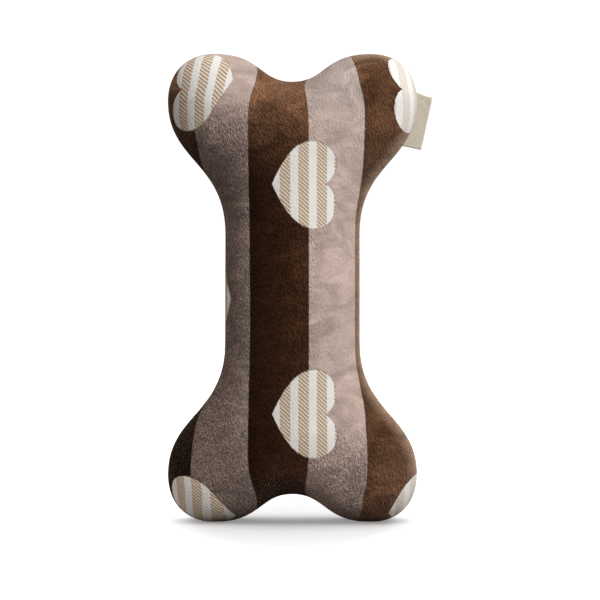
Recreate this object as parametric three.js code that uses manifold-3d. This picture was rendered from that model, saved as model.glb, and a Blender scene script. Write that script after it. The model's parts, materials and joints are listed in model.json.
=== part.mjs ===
// A plush squeaky dog toy in the shape of a bone, standing on one end.
// Two plush panels are sewn together round the outline of the bone, turned right side out, stuffed with
// loose fibre round a bellows squeaker and closed by hand. A folded ribbon label is caught in the seam.
// Millimetres, +Z up along the bone, front panel towards -Y, origin at the middle of the bone.

import * as THREE from 'three';
import { mergeVertices } from 'three/addons/utils/BufferGeometryUtils.js';
import Module from 'manifold-3d';

const wasm = await Module();
wasm.setup();

// Outline of the bone, seen from the front
const BONE_LENGTH = 280;
const END_WIDTH = 149.2; // across the two lobes of one end
const WAIST_WIDTH = 80.2;
const WAIST_LENGTH = 63; // straight stretch of the shaft
const NOTCH_DEPTH = 16.7; // from the lobes' tops down to the valley between them
const LOBE_SPACING = 93; // between the tops of two lobes
const LOBE_SHOULDER = 28.6; // from a lobe's top down to its widest place

// How far each curve of the outline reaches along its end tangent
const NOTCH_REACH = 19.9;
const LOBE_INNER_REACH = 27.8;
const LOBE_OUTER_REACH = 17;
const LOBE_SIDE_REACH = 17.5;
const NECK_UPPER_REACH = 35.7;
const NECK_LOWER_REACH = 43.7;

// Stuffed depth, and the crown line that runs up the shaft and forks into the lobes
const SHAFT_DEPTH = 66;
const LOBE_DEPTH = 55;
const LOBE_RADIUS = 30; // from the middle of a lobe to its top and to its side
const FORK_DROP = 55; // from the end of the bone down to the fork of the crown line

// Cover, seam and thread
const CLEARANCE = 0.3;
const COVER_THICKNESS = 2.6; // knitted backing with its pile
const SEAM_VALLEY = 3; // how far the seam is drawn in from the fullest edge
const SEAM_ROLL = 5; // from the seam to the fullest edge of a panel
const SEAM_ALLOWANCE = 7;
const ALLOWANCE_THICKNESS = 1.5;
const THREAD_DIAMETER = 0.7;
const STITCH_INSET = 1; // from the mouth of the seam to the line of stitches
const TURNING_GAP = 56; // stretch of the left side that is closed by hand
const LADDER_STITCH = 5.6;
const LADDER_SINK = 1.4; // of the hand stitches below the fullest edge
const FOOT_FLAT = 0.5; // depth of the flat that the stuffed lobes take on a floor

// Ribbon label, folded in two
const LABEL_DROP = 40.5; // from the top of the bone to the middle of the label
const LABEL_LENGTH = 31;
const LABEL_PROUD = 6.4; // beyond the fullest edge of the lobe
const LABEL_SINK = 1.8; // of its bending line below the fullest edge
const RIBBON_THICKNESS = 0.4;
const RIBBON_LOFT = 0.2; // between the two layers

// Fibre filling
const SHAFT_WAD_MARGIN = 1; // of the shaft's wad beyond the side of the waist
const SHAFT_WAD_DOME = 35;
const NOTCH_FILLING = 18; // from the notch down to the end of the shaft's wad

// Squeaker: a blow-moulded bellows with a reed whistle pressed into its neck
const FRONT_PADDING = 6; // fibre between the whistle and the cover
const PLEATS = 3;
const PLEAT_PITCH = 8;
const BELLOWS_DIAMETER = 44;
const PLEAT_DEPTH = 4.5;
const PLEAT_WALL = 1.4;
const BELLOWS_END_WALL = 1.2;
const NECK_LENGTH = 6;
const NECK_WALL = 1.5;
const WHISTLE_DIAMETER = 14.4;
const WHISTLE_FLANGE = 1.6;
const WHISTLE_CHAMFER = 0.8;
const REED_TUBE_DIAMETER = 7.4;
const REED_TUBE_BORE = 4.4;
const REED_TUBE_RECESS = 1; // of its outer end below the whistle's flange
const REED_TUBE_INNER = 9.5; // from its collar to its closed end
const REED_TUBE_END_WALL = 1;
const REED_COLLAR_DIAMETER = 10.4;
const REED_COLLAR = 1.2;
const REED_FLAT = 1.2; // height of the flat under the reed above the tube's axis
const REED_WIDTH = 4.6;
const REED_THICKNESS = 0.4;
const REED_TIP_INSET = 0.5; // from the tube's closed end
const REED_CLIP_LENGTH = 2.8;

// Facets
const BRANCH_STEPS = 5;
const LOBE_STEPS = 5;
const NECK_STEPS = 2;
const WAIST_STEPS = 1;
const NECK_FORK = 0.7; // share of the neck's curve that faces the branch to the lobe
const ROLL_STEPS = 2;
const CROWN_STEPS = 6;
const LINING_STEPS = 4;
const ROUND_SEGMENTS = 20;
const PLEAT_STEPS = 6;
const THREAD_SIDES = 5;
const SEAM_THREAD_STEPS = 100;
const LADDER_STITCH_STEPS = 4;
const DOME_SEGMENTS = 6;
const FOLD_SEGMENTS = 4;
const CLIP_SEGMENTS = 10;
const LABEL_PLACES = 400; // tried along the neck's curve to seat the label
const MERGE_DISTANCE = 1e-3;

// Finishes
const BROWN_PLUSH = { color: 0x4a3224, roughness: 0.95 };
const TAUPE_PLUSH = { color: 0x8a786e, roughness: 0.95 };
const SEWING_THREAD = { color: 0x3a271c, roughness: 0.8 };
const WOVEN_RIBBON = { color: 0xc4b5a0, roughness: 0.85 };
const WHITE_FIBRE = { color: 0xf1efe9, roughness: 1 };
const BELLOWS_PLASTIC = { color: 0xeceae2, roughness: 0.5 };
const WHISTLE_PLASTIC = { color: 0xf4f4f0, roughness: 0.4 };
const REED_FILM = { color: 0xc9d3d6, roughness: 0.3 };

const halfLength = BONE_LENGTH / 2;
const seamHalf = THREAD_DIAMETER / 2 + CLEARANCE;
const allowanceFace = seamHalf + ALLOWANCE_THICKNESS;
const allowanceEdge = SEAM_VALLEY + SEAM_ALLOWANCE;
const space = 2 * BONE_LENGTH; // larger than the bone every way

// The three curves of one quarter of the outline, from the notch out over a lobe and in to the waist.
const notchValley = new THREE.Vector2(0, halfLength - NOTCH_DEPTH);
const lobeTop = new THREE.Vector2(LOBE_SPACING / 2, halfLength);
const lobeSide = new THREE.Vector2(END_WIDTH / 2, halfLength - LOBE_SHOULDER);
const waistEnd = new THREE.Vector2(WAIST_WIDTH / 2, WAIST_LENGTH / 2);
const along = (point, x, z) => new THREE.Vector2(point.x + x, point.y + z);
const notchCurve = new THREE.CubicBezierCurve(
  notchValley, along(notchValley, NOTCH_REACH, 0), along(lobeTop, -LOBE_INNER_REACH, 0), lobeTop);
const lobeCurve = new THREE.CubicBezierCurve(
  lobeTop, along(lobeTop, LOBE_OUTER_REACH, 0), along(lobeSide, 0, LOBE_SIDE_REACH), lobeSide);
const neckCurve = new THREE.CubicBezierCurve(
  lobeSide, along(lobeSide, 0, -NECK_UPPER_REACH), along(waistEnd, 0, NECK_LOWER_REACH), waistEnd);

// A station is a place on the outline with its outward normal, the place on the crown line that it is
// stuffed up to, and the half depth there.
function stationOn(curve, t, crown, depth) {
  const tangent = curve.getTangent(t);
  return { edge: curve.getPoint(t), normal: new THREE.Vector2(-tangent.y, tangent.x), crown, depth };
}

function quarterStations() {
  const fork = new THREE.Vector2(0, halfLength - FORK_DROP);
  const lobeMiddle = new THREE.Vector2(END_WIDTH / 2 - LOBE_RADIUS, halfLength - LOBE_RADIUS);
  const branch = (share) => fork.clone().lerp(lobeMiddle, share);
  const branchDepth = (share) =>
    THREE.MathUtils.lerp(SHAFT_DEPTH, LOBE_DEPTH, THREE.MathUtils.smoothstep(share, 0, 1)) / 2;
  const stations = [];
  for (let i = 0; i < BRANCH_STEPS; i++) {
    const share = i / BRANCH_STEPS;
    stations.push(stationOn(notchCurve, share, branch(share), branchDepth(share)));
  }
  for (let i = 0; i < LOBE_STEPS; i++) {
    stations.push(stationOn(lobeCurve, i / LOBE_STEPS, branch(1), branchDepth(1)));
  }
  for (let i = 0; i < BRANCH_STEPS; i++) {
    const share = (BRANCH_STEPS - i) / BRANCH_STEPS;
    stations.push(stationOn(neckCurve, (1 - share) * NECK_FORK, branch(share), branchDepth(share)));
  }
  for (let i = 0; i < NECK_STEPS; i++) {
    const share = i / NECK_STEPS;
    const crown = fork.clone().lerp(new THREE.Vector2(0, waistEnd.y), share);
    stations.push(stationOn(neckCurve, THREE.MathUtils.lerp(NECK_FORK, 1, share), crown, branchDepth(0)));
  }
  for (let i = 0; i <= WAIST_STEPS; i++) {
    const height = waistEnd.y * (1 - i / WAIST_STEPS);
    stations.push({
      edge: new THREE.Vector2(waistEnd.x, height),
      normal: new THREE.Vector2(1, 0),
      crown: new THREE.Vector2(0, height),
      depth: branchDepth(0),
    });
  }
  return stations;
}

function mirrored(station, xSign, zSign) {
  const flip = (v) => new THREE.Vector2(v.x * xSign, v.y * zSign);
  return { ...station, edge: flip(station.edge), normal: flip(station.normal), crown: flip(station.crown) };
}

// All stations, clockwise from the upper notch.
function allStations() {
  const quarter = quarterStations();
  const lower = quarter.slice(0, -1).reverse().map((s) => mirrored(s, 1, -1));
  const right = [...quarter, ...lower];
  const left = right.slice(1, -1).reverse().map((s) => mirrored(s, -1, 1));
  return [...right, ...left];
}

const stations = allStations();

// Points of the stuffed form at one station. An inset moves them in from the cover's outer face.
function edgePoint(station, inset, y) {
  const p = station.edge.clone().addScaledVector(station.normal, -inset);
  return new THREE.Vector3(p.x, y, p.y);
}

function crownPoint(station, inset, angle) {
  const p = station.edge.clone().addScaledVector(station.normal, -inset);
  p.lerp(station.crown, 1 - Math.cos(angle));
  return new THREE.Vector3(p.x, SEAM_ROLL + (station.depth - inset - SEAM_ROLL) * Math.sin(angle), p.y);
}

function crownRow(station, inset, steps) {
  const row = [];
  for (let i = 0; i <= steps; i++) row.push(crownPoint(station, inset, (i / steps) * (Math.PI / 2)));
  return row;
}

// Half the width of the valley over the seam, at a height above the seam's mouth.
const valleyHalf = (height) =>
  SEAM_ROLL - (SEAM_ROLL - seamHalf) * Math.sqrt(1 - (height / SEAM_VALLEY) ** 2);

// A closed mesh from rows of points, one set of rows for each station, joined all the way round.
// The diagonals always rise towards the next crown, so that the cover and its filling have like facets.
function loftRound(rowsAt) {
  const positions = [];
  const push = (...points) => points.forEach((p) => positions.push(p.x, p.y, p.z));
  stations.forEach((station, i) => {
    const here = rowsAt(station);
    const next = rowsAt(stations[(i + 1) % stations.length]);
    here.forEach((row, r) => {
      for (let k = 0; k + 1 < row.length; k++) {
        const [a, b, c, d] = [row[k], row[k + 1], next[r][k + 1], next[r][k]];
        if (Math.abs(b.y) >= Math.abs(a.y)) push(a, b, c, a, c, d);
        else push(a, b, d, b, c, d);
      }
    });
  });
  const geometry = new THREE.BufferGeometry();
  geometry.setAttribute('position', new THREE.Float32BufferAttribute(positions, 3));
  return geometry;
}

// A solid for joining and cutting, with its vertices merged and its faces turned outwards.
function solidOf(source) {
  const bare = source.clone();
  bare.deleteAttribute('normal');
  bare.deleteAttribute('uv');
  const merged = mergeVertices(bare, MERGE_DISTANCE);
  const position = merged.attributes.position;
  const corner = (i) => new THREE.Vector3().fromBufferAttribute(position, i);
  const triangles = [];
  let volume = 0;
  for (let i = 0; i < merged.index.count; i += 3) {
    const [a, b, c] = [0, 1, 2].map((k) => merged.index.getX(i + k));
    if (a === b || b === c || c === a) continue;
    triangles.push([a, b, c]);
    volume += corner(a).dot(corner(b).cross(corner(c)));
  }
  if (volume < 0) triangles.forEach((t) => t.reverse());
  const triVerts = new Uint32Array(triangles.flat());
  const vertProperties = new Float32Array(position.array);
  return new wasm.Manifold(new wasm.Mesh({ numProp: 3, vertProperties, triVerts }));
}

function geometryOf(solid) {
  const mesh = solid.getMesh();
  const geometry = new THREE.BufferGeometry();
  geometry.setAttribute('position', new THREE.Float32BufferAttribute(mesh.vertProperties, 3));
  geometry.setIndex(Array.from(mesh.triVerts));
  const flat = geometry.toNonIndexed();
  flat.computeVertexNormals();
  return flat;
}

// A block between two corners.
function block(low, high) {
  const size = high.clone().sub(low);
  const middle = low.clone().add(high).divideScalar(2);
  return solidOf(new THREE.BoxGeometry(size.x, size.y, size.z).translate(middle.x, middle.y, middle.z));
}

// A solid turned round the Y axis from [radius, y] points.
function turned(points) {
  const profile = points.map(([radius, y]) => new THREE.Vector2(radius, y));
  return solidOf(new THREE.LatheGeometry(profile, ROUND_SEGMENTS));
}

const toy = new THREE.Group();

function addPart(name, solid, finish) {
  const material = new THREE.MeshStandardMaterial({ ...finish, metalness: 0 });
  const mesh = new THREE.Mesh(geometryOf(solid), material);
  mesh.name = name;
  toy.add(mesh);
  return mesh;
}

// One plush panel: its crowned outer face rolls into the seam and runs on inside as the seam allowance.
function panel(side) {
  const outward = (p) => new THREE.Vector3(p.x, p.y * side, p.z);
  const solid = solidOf(loftRound((station) => {
    const outer = [edgePoint(station, allowanceEdge, seamHalf)];
    for (let i = 0; i < ROLL_STEPS; i++) {
      const angle = (i / ROLL_STEPS) * (Math.PI / 2);
      const y = SEAM_ROLL - (SEAM_ROLL - seamHalf) * Math.cos(angle);
      outer.push(edgePoint(station, SEAM_VALLEY * (1 - Math.sin(angle)), y));
    }
    outer.push(...crownRow(station, 0, CROWN_STEPS));
    const inner = crownRow(station, COVER_THICKNESS, LINING_STEPS).reverse();
    inner.push(edgePoint(station, COVER_THICKNESS, allowanceFace));
    inner.push(edgePoint(station, allowanceEdge, allowanceFace));
    inner.push(outer[0].clone());
    return [outer.map(outward), inner.map(outward)];
  }));
  const floor = block(
    new THREE.Vector3(-space, -space, -space),
    new THREE.Vector3(space, space, FOOT_FLAT - halfLength));
  return solid.subtract(floor);
}

// The whole filling, grooved round its edge for the seam allowances.
function filling() {
  const inset = COVER_THICKNESS + CLEARANCE;
  const groove = allowanceFace + CLEARANCE;
  const grooveEdge = allowanceEdge + CLEARANCE;
  return solidOf(loftRound((station) => {
    const half = [
      edgePoint(station, grooveEdge, groove),
      edgePoint(station, inset, groove),
      ...crownRow(station, inset, LINING_STEPS),
    ];
    const front = half.map((p) => new THREE.Vector3(p.x, -p.y, p.z)).reverse();
    return [[...front, ...half]];
  }));
}

// The outline of the shaft's wad, a stretch with domed ends, carried right through the depth.
function shaftWadBlock(growth) {
  const halfWidth = WAIST_WIDTH / 2 + SHAFT_WAD_MARGIN + growth;
  const end = notchValley.y - NOTCH_FILLING + growth;
  const dome = SHAFT_WAD_DOME;
  const shape = new THREE.Shape();
  shape.absellipse(0, end - dome, halfWidth, dome, 0, Math.PI);
  shape.absellipse(0, dome - end, halfWidth, dome, Math.PI, 2 * Math.PI);
  shape.closePath();
  const depth = 2 * SHAFT_DEPTH;
  const geometry = new THREE.ExtrudeGeometry(
    shape, { depth, bevelEnabled: false, curveSegments: DOME_SEGMENTS });
  return solidOf(geometry.translate(0, 0, -depth / 2).rotateX(Math.PI / 2));
}

// Places along the squeaker's axis, from the whistle's flange behind the front panel to the closed base.
const whistleFront = FRONT_PADDING + COVER_THICKNESS - SHAFT_DEPTH / 2;
const flangeBack = whistleFront + WHISTLE_FLANGE;
const neckFront = flangeBack + CLEARANCE;
const shoulder = neckFront + NECK_LENGTH;
const bellowsBase = shoulder + PLEATS * PLEAT_PITCH;
const neckBore = WHISTLE_DIAMETER / 2 + CLEARANCE;
const neckRadius = neckBore + NECK_WALL;

// The pocket that the filling leaves round the squeaker.
function squeakerPocket() {
  const radius = BELLOWS_DIAMETER / 2 + CLEARANCE;
  const neck = neckRadius + CLEARANCE;
  return turned([
    [0, whistleFront - CLEARANCE],
    [neck, whistleFront - CLEARANCE],
    [neck, shoulder - CLEARANCE],
    [radius, shoulder - CLEARANCE],
    [radius, bellowsBase + CLEARANCE],
    [0, bellowsBase + CLEARANCE],
  ]);
}

function addFilling() {
  const whole = filling();
  const shaft = whole.intersect(shaftWadBlock(0)).subtract(squeakerPocket());
  const half = CLEARANCE / 2;
  const parting = (low, high) => block(
    new THREE.Vector3(-space, low, -space), new THREE.Vector3(space, high, space));
  addPart('stuffing_shaft_front', shaft.intersect(parting(-space, -half)), WHITE_FIBRE);
  addPart('stuffing_shaft_back', shaft.intersect(parting(half, space)), WHITE_FIBRE);
  const lobes = whole.subtract(shaftWadBlock(CLEARANCE));
  for (const [end, z] of [['top', 1], ['bottom', -1]]) {
    for (const [side, x] of [['left', -1], ['right', 1]]) {
      const corner = new THREE.Vector3(x * half, -space, 0);
      const far = new THREE.Vector3(x * space, space, z * space);
      const quarter = block(corner.clone().min(far), corner.clone().max(far));
      addPart(`stuffing_${end}_${side}`, lobes.intersect(quarter), WHITE_FIBRE);
    }
  }
}

// A round thread along a path.
function threadAlong(points, steps) {
  const shape = new THREE.Shape();
  for (let i = 0; i < THREAD_SIDES; i++) {
    const angle = (i / THREAD_SIDES) * 2 * Math.PI;
    const x = (THREAD_DIAMETER / 2) * Math.cos(angle);
    const y = (THREAD_DIAMETER / 2) * Math.sin(angle);
    if (i === 0) shape.moveTo(x, y);
    else shape.lineTo(x, y);
  }
  shape.closePath();
  const extrudePath = new THREE.CatmullRomCurve3(points);
  return solidOf(new THREE.ExtrudeGeometry(shape, { steps, extrudePath, bevelEnabled: false }));
}

// Machine stitching, between the two seam allowances all round the bone but for the turning gap.
function seamThread() {
  const inset = SEAM_VALLEY + STITCH_INSET;
  const gapSide = -WAIST_WIDTH / 2 + inset;
  const sewn = stations.filter((s) => s.edge.x > 0 || Math.abs(s.edge.y) > TURNING_GAP / 2);
  const start = sewn.findIndex((s) => s.edge.x < 0 && s.edge.y > 0);
  const path = [...sewn.slice(start), ...sewn.slice(0, start)].map((s) => edgePoint(s, inset, 0));
  path.unshift(new THREE.Vector3(gapSide, 0, TURNING_GAP / 2));
  path.push(new THREE.Vector3(gapSide, 0, -TURNING_GAP / 2));
  return threadAlong(path, SEAM_THREAD_STEPS);
}

// Ladder stitches drawn to and fro across the valley over the turning gap.
function closingThread() {
  const swing = valleyHalf(SEAM_VALLEY - LADDER_SINK) - THREAD_DIAMETER / 2 - CLEARANCE;
  const x = LADDER_SINK - WAIST_WIDTH / 2;
  const stitches = Math.round(TURNING_GAP / LADDER_STITCH);
  const path = [];
  for (let i = 0; i <= 2 * stitches; i++) {
    const z = TURNING_GAP * (i / (2 * stitches) - 0.5);
    path.push(new THREE.Vector3(x, i % 2 ? swing : -swing, z));
  }
  return threadAlong(path, LADDER_STITCH_STEPS * stitches);
}

// The label: a ribbon folded round its outer edge, with both ends caught in the seam's mouth. It bends
// about a line along the seam, which is the mesh's own Z axis.
function addLabel() {
  const height = halfLength - LABEL_DROP;
  let place = 0;
  while (place < 1 && neckCurve.getPoint(place).y > height) place += 1 / LABEL_PLACES;
  const { edge, normal } = stationOn(neckCurve, place, null, 0);
  const thickness = 2 * RIBBON_THICKNESS + RIBBON_LOFT;
  const reach = LABEL_PROUD + LABEL_SINK;
  const fold = reach - thickness / 2;
  const quarterTurn = Math.PI / 2;
  const shape = new THREE.Shape();
  shape.moveTo(-CLEARANCE, -thickness / 2);
  shape.absarc(fold, 0, thickness / 2, -quarterTurn, quarterTurn, false);
  shape.lineTo(-CLEARANCE, thickness / 2);
  shape.lineTo(-CLEARANCE, RIBBON_LOFT / 2);
  shape.absarc(fold, 0, RIBBON_LOFT / 2, quarterTurn, -quarterTurn, true);
  shape.lineTo(-CLEARANCE, -RIBBON_LOFT / 2);
  shape.closePath();
  const geometry = new THREE.ExtrudeGeometry(
    shape, { depth: LABEL_LENGTH, bevelEnabled: false, curveSegments: FOLD_SEGMENTS });
  const label = addPart('side_label', solidOf(geometry), WOVEN_RIBBON);
  const outward = new THREE.Vector3(normal.x, 0, normal.y);
  const back = new THREE.Vector3(0, 1, 0);
  const upward = new THREE.Vector3().crossVectors(outward, back);
  label.quaternion.setFromRotationMatrix(new THREE.Matrix4().makeBasis(outward, back, upward));
  label.position.set(edge.x, 0, edge.y).addScaledVector(outward, -LABEL_SINK);
  label.position.addScaledVector(upward, -LABEL_LENGTH / 2);
}

// The bellows: rounded pleats, a closed base, and a shoulder with an open neck for the whistle.
function bellows() {
  const trough = BELLOWS_DIAMETER / 2 - PLEAT_DEPTH;
  const radiusAt = (y) =>
    trough + (PLEAT_DEPTH / 2) * (1 - Math.cos((2 * Math.PI * (y - shoulder)) / PLEAT_PITCH));
  const rows = PLEATS * PLEAT_STEPS;
  const outer = [];
  const inner = [];
  for (let i = 0; i <= rows; i++) {
    const y = THREE.MathUtils.lerp(bellowsBase, shoulder, i / rows);
    const insideY = THREE.MathUtils.clamp(y, shoulder + BELLOWS_END_WALL, bellowsBase - BELLOWS_END_WALL);
    outer.push([radiusAt(y), y]);
    inner.unshift([radiusAt(insideY) - PLEAT_WALL, insideY]);
  }
  return turned([
    [0, bellowsBase],
    ...outer,
    [neckRadius, shoulder],
    [neckRadius, neckFront],
    [neckBore, neckFront],
    [neckBore, shoulder + BELLOWS_END_WALL],
    ...inner,
    [0, bellowsBase - BELLOWS_END_WALL],
  ]);
}

// The whistle's plug: a flanged sleeve pressed into the neck.
function whistlePlug() {
  const radius = WHISTLE_DIAMETER / 2;
  const bore = REED_TUBE_DIAMETER / 2 + CLEARANCE;
  return turned([
    [bore, whistleFront],
    [neckRadius, whistleFront],
    [neckRadius, flangeBack],
    [radius, flangeBack],
    [radius, shoulder - WHISTLE_CHAMFER],
    [radius - WHISTLE_CHAMFER, shoulder],
    [bore, shoulder],
    [bore, whistleFront],
  ]);
}

const collarFront = shoulder + CLEARANCE;
const collarBack = collarFront + REED_COLLAR;
const reedTubeEnd = collarBack + REED_TUBE_INNER;
const reedRoot = collarBack + CLEARANCE;
const reedUnderside = REED_FLAT + CLEARANCE;

// The reed tube: bored from the outside, closed at its inner end, with a flat that opens the bore.
function reedTube() {
  const radius = REED_TUBE_DIAMETER / 2;
  const collar = REED_COLLAR_DIAMETER / 2;
  const bore = REED_TUBE_BORE / 2;
  const mouth = whistleFront + REED_TUBE_RECESS;
  const body = turned([
    [bore, mouth],
    [radius, mouth],
    [radius, collarFront],
    [collar, collarFront],
    [collar, collarBack],
    [radius, collarBack],
    [radius, reedTubeEnd],
    [0, reedTubeEnd],
    [0, reedTubeEnd - REED_TUBE_END_WALL],
    [bore, reedTubeEnd - REED_TUBE_END_WALL],
    [bore, mouth],
  ]);
  const above = block(
    new THREE.Vector3(-collar, collarBack, REED_FLAT),
    new THREE.Vector3(collar, reedTubeEnd + collar, collar));
  return body.subtract(above);
}

// The reed: a thin tongue over the opened bore.
function reed() {
  return block(
    new THREE.Vector3(-REED_WIDTH / 2, reedRoot, reedUnderside),
    new THREE.Vector3(REED_WIDTH / 2, reedTubeEnd - REED_TIP_INSET, reedUnderside + REED_THICKNESS));
}

// The clip: a collar with a flat inside that holds the reed's root down on the tube.
function reedClip() {
  const hole = REED_TUBE_DIAMETER / 2 + CLEARANCE;
  const chord = reedUnderside + REED_THICKNESS + CLEARANCE;
  const start = Math.PI - Math.asin(chord / hole);
  const shape = new THREE.Shape();
  shape.absarc(0, 0, REED_COLLAR_DIAMETER / 2, 0, 2 * Math.PI);
  const opening = new THREE.Path();
  opening.absarc(0, 0, hole, start, 3 * Math.PI - start, false);
  opening.closePath();
  shape.holes.push(opening);
  const geometry = new THREE.ExtrudeGeometry(
    shape, { depth: REED_CLIP_LENGTH, bevelEnabled: false, curveSegments: CLIP_SEGMENTS });
  return solidOf(geometry.rotateX(Math.PI / 2).translate(0, reedRoot + REED_CLIP_LENGTH, 0));
}

addPart('front_panel', panel(-1), BROWN_PLUSH);
addPart('back_panel', panel(1), TAUPE_PLUSH);
addPart('seam_thread', seamThread(), SEWING_THREAD);
addPart('closing_thread', closingThread(), SEWING_THREAD);
addLabel();
addFilling();
addPart('squeaker_bellows', bellows(), BELLOWS_PLASTIC);
addPart('whistle_plug', whistlePlug(), WHISTLE_PLASTIC);
addPart('reed_tube', reedTube(), WHISTLE_PLASTIC);
addPart('reed', reed(), REED_FILM);
addPart('reed_clip', reedClip(), WHISTLE_PLASTIC);

export default toy;
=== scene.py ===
import json
import math

import bmesh
import bpy
import numpy as np
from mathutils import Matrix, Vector, noise

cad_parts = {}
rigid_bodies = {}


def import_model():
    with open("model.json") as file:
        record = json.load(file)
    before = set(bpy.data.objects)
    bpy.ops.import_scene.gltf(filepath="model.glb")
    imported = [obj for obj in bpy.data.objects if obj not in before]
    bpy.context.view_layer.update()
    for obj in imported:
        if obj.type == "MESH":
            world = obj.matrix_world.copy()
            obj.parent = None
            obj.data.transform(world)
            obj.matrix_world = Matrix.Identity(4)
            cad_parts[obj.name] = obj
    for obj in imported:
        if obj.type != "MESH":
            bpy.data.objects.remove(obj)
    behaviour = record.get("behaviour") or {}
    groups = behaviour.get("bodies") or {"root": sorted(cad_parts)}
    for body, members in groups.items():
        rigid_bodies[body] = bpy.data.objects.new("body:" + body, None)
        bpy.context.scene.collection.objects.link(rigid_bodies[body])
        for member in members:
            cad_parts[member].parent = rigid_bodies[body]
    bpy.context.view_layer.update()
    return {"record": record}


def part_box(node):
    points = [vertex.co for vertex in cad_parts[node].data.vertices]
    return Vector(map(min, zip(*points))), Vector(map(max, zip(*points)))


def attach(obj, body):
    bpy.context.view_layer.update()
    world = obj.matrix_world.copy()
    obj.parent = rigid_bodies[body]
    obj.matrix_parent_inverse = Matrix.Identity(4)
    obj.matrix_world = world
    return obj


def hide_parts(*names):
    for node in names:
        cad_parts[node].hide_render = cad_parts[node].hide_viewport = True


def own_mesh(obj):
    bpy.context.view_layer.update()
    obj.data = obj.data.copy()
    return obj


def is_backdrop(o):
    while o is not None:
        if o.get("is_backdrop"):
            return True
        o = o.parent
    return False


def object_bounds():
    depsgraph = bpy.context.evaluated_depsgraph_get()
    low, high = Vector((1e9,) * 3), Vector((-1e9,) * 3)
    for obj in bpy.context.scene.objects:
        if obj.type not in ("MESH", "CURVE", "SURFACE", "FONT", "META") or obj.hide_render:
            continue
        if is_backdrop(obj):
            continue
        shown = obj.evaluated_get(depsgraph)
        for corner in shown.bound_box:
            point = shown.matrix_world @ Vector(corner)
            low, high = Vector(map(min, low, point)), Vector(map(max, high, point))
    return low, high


for leftover in list(bpy.data.objects):
    bpy.data.objects.remove(leftover)
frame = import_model()
bpy.ops.object.select_all(action="DESELECT")


# Cover: a front and a back panel of short-pile plush, cut alike, sewn right sides together and
# turned. The seam lies in a shallow valley between two soft rolls, and its allowances point inwards.

panel_low, panel_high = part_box("front_panel")
label_low, label_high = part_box("side_label")
HALF_LENGTH = panel_high.z
END_HALF_WIDTH = panel_high.x
CROWN_HALF_DEPTH = -panel_low.y
FLOOR_LEVEL = panel_low.z
WAIST_HALF_WIDTH = 0.0401
WAIST_HALF_LENGTH = 0.0315
NOTCH_DEPTH = 0.0167
LOBE_TOP = 0.0465
LOBE_SHOULDER = 0.0286
LOBE_RADIUS = 0.030
LOBE_HALF_DEPTH = 0.0275
FORK_DROP = 0.055
NECK_FORK = 0.7
NOTCH_REACH = 0.0199
LOBE_INNER_REACH = 0.0278
LOBE_OUTER_REACH = 0.017
LOBE_SIDE_REACH = 0.0175
NECK_UPPER_REACH = 0.0357
NECK_LOWER_REACH = 0.0437
SEAM_HALF_GAP = 0.00065
SEAM_PRESSED = -0.0004
SEAM_LIP = 0.0006
LABEL_MARGIN = 0.003
SEAM_VALLEY = 0.003
SEAM_ROLL = 0.005
SEAM_ALLOWANCE = 0.007
PLUSH_THICKNESS = 0.0015
BRANCH_STATIONS = 18
LOBE_STATIONS = 18
NECK_STATIONS = 7
WAIST_STATIONS = 11
ALLOWANCE_ROWS = 4
ROLL_ROWS = 4
CROWN_ROWS = 18


def bezier(start, leave, arrive, end, share):
    """Points of a cubic curve at the given shares of its way."""
    share = np.asarray(share)[:, None]
    rest = 1 - share
    return (rest**3 * np.array(start) + 3 * rest**2 * share * np.array(leave)
            + 3 * rest * share**2 * np.array(arrive) + share**3 * np.array(end))


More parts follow.
